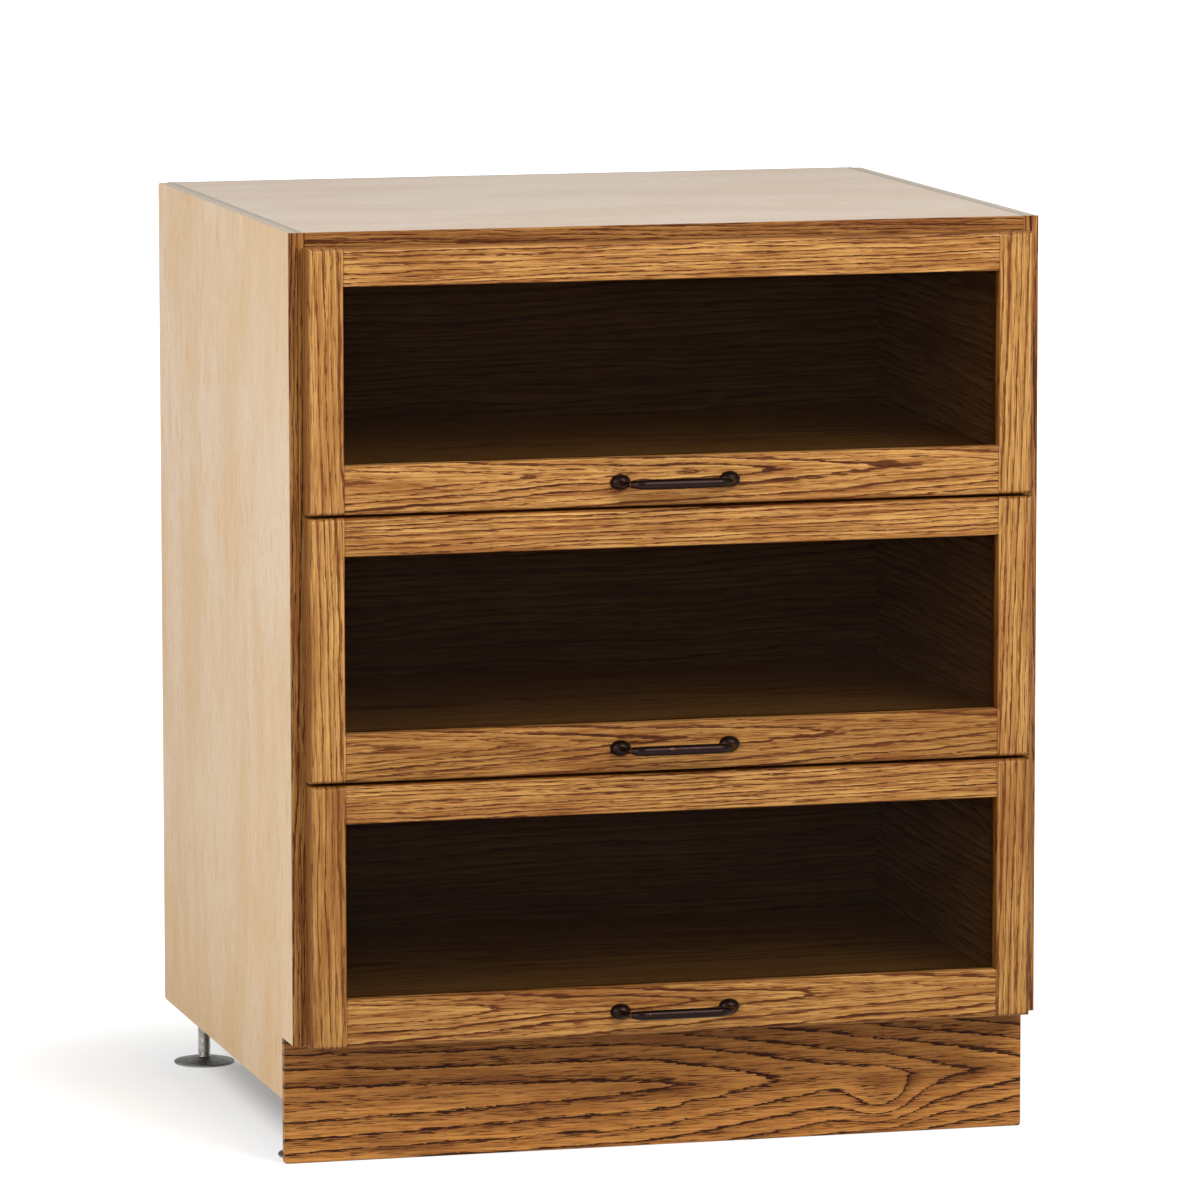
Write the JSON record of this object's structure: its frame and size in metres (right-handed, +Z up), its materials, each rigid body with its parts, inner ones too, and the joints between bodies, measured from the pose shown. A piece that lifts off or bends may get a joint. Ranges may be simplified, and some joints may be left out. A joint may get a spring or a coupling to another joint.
{
  "type": "drawer cabinet",
  "caption": "Base cabinet with glass-fronted oak drawers on full-extension slides, maple sides, a recessed toe kick and threaded levelling feet.",
  "frame": {"origin": "on the floor, in the middle of the width and of the whole depth from handles to back", "axes": "+X to the right seen from the front, +Y to the back, +Z up"},
  "size_m": [0.72, 0.6463, 0.876],
  "materials": {
    "maple_panel": "satin lacquer",
    "case_board": "matt lacquer",
    "oak_front": "satin lacquer",
    "oak_toe_kick": "satin lacquer",
    "oak_box": "satin lacquer",
    "tinted_glass": "polished",
    "dark_bronze": "oil-rubbed bronze",
    "slide_steel": "zinc plated",
    "screw_steel": "zinc plated",
    "foot_steel": "plain steel"
  },
  "bodies": {
    "case": {"left_end_panel": "maple_panel", "right_end_panel": "maple_panel", "left_case_side": "case_board", "right_case_side": "case_board", "front_edge_bands": "oak_front", "top_panel": "case_board", "bottom_panel": "case_board", "back_panel": "case_board", "upper_wall_rail": "case_board", "lower_wall_rail": "case_board", "toe_kick_board": "oak_toe_kick", "toe_kick_blocks": "case_board", "case_slide_rails": "slide_steel", "rail_screws": "screw_steel", "foot_plates": "foot_steel", "foot_plate_screws": "screw_steel"},
    "drawer_1": {"drawer_1_stiles": "oak_front", "drawer_1_top_rail": "oak_front", "drawer_1_bottom_rail": "oak_front", "drawer_1_glass_pane": "tinted_glass", "drawer_1_glass_beads": "oak_box", "drawer_1_box_sides": "oak_box", "drawer_1_box_back": "oak_box", "drawer_1_box_bottom": "oak_box", "drawer_1_handle": "dark_bronze", "drawer_1_screws": "screw_steel", "drawer_1_drawer_slides": "slide_steel"},
    "drawer_1_slide": {"drawer_1_middle_slides": "slide_steel"},
    "drawer_2": {"drawer_2_stiles": "oak_front", "drawer_2_top_rail": "oak_front", "drawer_2_bottom_rail": "oak_front", "drawer_2_glass_pane": "tinted_glass", "drawer_2_glass_beads": "oak_box", "drawer_2_box_sides": "oak_box", "drawer_2_box_back": "oak_box", "drawer_2_box_bottom": "oak_box", "drawer_2_handle": "dark_bronze", "drawer_2_screws": "screw_steel", "drawer_2_drawer_slides": "slide_steel"},
    "drawer_2_slide": {"drawer_2_middle_slides": "slide_steel"},
    "drawer_3": {"drawer_3_stiles": "oak_front", "drawer_3_top_rail": "oak_front", "drawer_3_bottom_rail": "oak_front", "drawer_3_glass_pane": "tinted_glass", "drawer_3_glass_beads": "oak_box", "drawer_3_box_sides": "oak_box", "drawer_3_box_back": "oak_box", "drawer_3_box_bottom": "oak_box", "drawer_3_handle": "dark_bronze", "drawer_3_screws": "screw_steel", "drawer_3_drawer_slides": "slide_steel"},
    "drawer_3_slide": {"drawer_3_middle_slides": "slide_steel"},
    "front_left_pad": {"front_left_foot_pad": "foot_steel"},
    "front_left_stem": {"front_left_foot_stem": "foot_steel"},
    "front_right_pad": {"front_right_foot_pad": "foot_steel"},
    "front_right_stem": {"front_right_foot_stem": "foot_steel"},
    "back_left_pad": {"back_left_foot_pad": "foot_steel"},
    "back_left_stem": {"back_left_foot_stem": "foot_steel"},
    "back_right_pad": {"back_right_foot_pad": "foot_steel"},
    "back_right_stem": {"back_right_foot_stem": "foot_steel"}
  },
  "joints": [
    {"name": "drawer_1_travel", "type": "slide", "parent": "case", "child": "drawer_1", "axis": [0, -1, 0], "range_m": [0, 0.4]},
    {"name": "drawer_1_slide_travel", "type": "slide", "parent": "case", "child": "drawer_1_slide", "axis": [0, -1, 0], "range_m": [0, 0.2]},
    {"name": "drawer_2_travel", "type": "slide", "parent": "case", "child": "drawer_2", "axis": [0, -1, 0], "range_m": [0, 0.4]},
    {"name": "drawer_2_slide_travel", "type": "slide", "parent": "case", "child": "drawer_2_slide", "axis": [0, -1, 0], "range_m": [0, 0.2]},
    {"name": "drawer_3_travel", "type": "slide", "parent": "case", "child": "drawer_3", "axis": [0, -1, 0], "range_m": [0, 0.4]},
    {"name": "drawer_3_slide_travel", "type": "slide", "parent": "case", "child": "drawer_3_slide", "axis": [0, -1, 0], "range_m": [0, 0.2]},
    {"name": "front_left_foot_height", "type": "slide", "parent": "case", "child": "front_left_pad", "axis": [0, 0, -1], "range_m": [-0.00977, 0.01954]},
    {"name": "front_left_stem_turn", "type": "hinge", "parent": "front_left_pad", "child": "front_left_stem", "pos_m": [-0.327, -0.18735, 0], "axis": [0, 0, -1], "range_deg": [-1802, 3602]},
    {"name": "front_right_foot_height", "type": "slide", "parent": "case", "child": "front_right_pad", "axis": [0, 0, -1], "range_m": [-0.00977, 0.01954]},
    {"name": "front_right_stem_turn", "type": "hinge", "parent": "front_right_pad", "child": "front_right_stem", "pos_m": [0.327, -0.18735, 0], "axis": [0, 0, -1], "range_deg": [-1802, 3602]},
    {"name": "back_left_foot_height", "type": "slide", "parent": "case", "child": "back_left_pad", "axis": [0, 0, -1], "range_m": [-0.00977, 0.01954]},
    {"name": "back_left_stem_turn", "type": "hinge", "parent": "back_left_pad", "child": "back_left_stem", "pos_m": [-0.327, 0.29115, 0], "axis": [0, 0, -1], "range_deg": [-1802, 3602]},
    {"name": "back_right_foot_height", "type": "slide", "parent": "case", "child": "back_right_pad", "axis": [0, 0, -1], "range_m": [-0.00977, 0.01954]},
    {"name": "back_right_stem_turn", "type": "hinge", "parent": "back_right_pad", "child": "back_right_stem", "pos_m": [0.327, 0.29115, 0], "axis": [0, 0, -1], "range_deg": [-1802, 3602]}
  ],
  "couplings": [
    {"joint": "drawer_1_slide_travel", "follows": "drawer_1_travel", "ratio": 0.5},
    {"joint": "drawer_2_slide_travel", "follows": "drawer_2_travel", "ratio": 0.5},
    {"joint": "drawer_3_slide_travel", "follows": "drawer_3_travel", "ratio": 0.5},
    {"joint": "front_left_stem_turn", "follows": "front_left_foot_height", "rad_per_m": 3215.8},
    {"joint": "front_right_stem_turn", "follows": "front_right_foot_height", "rad_per_m": 3215.8},
    {"joint": "back_left_stem_turn", "follows": "back_left_foot_height", "rad_per_m": 3215.8},
    {"joint": "back_right_stem_turn", "follows": "back_right_foot_height", "rad_per_m": 3215.8}
  ]
}
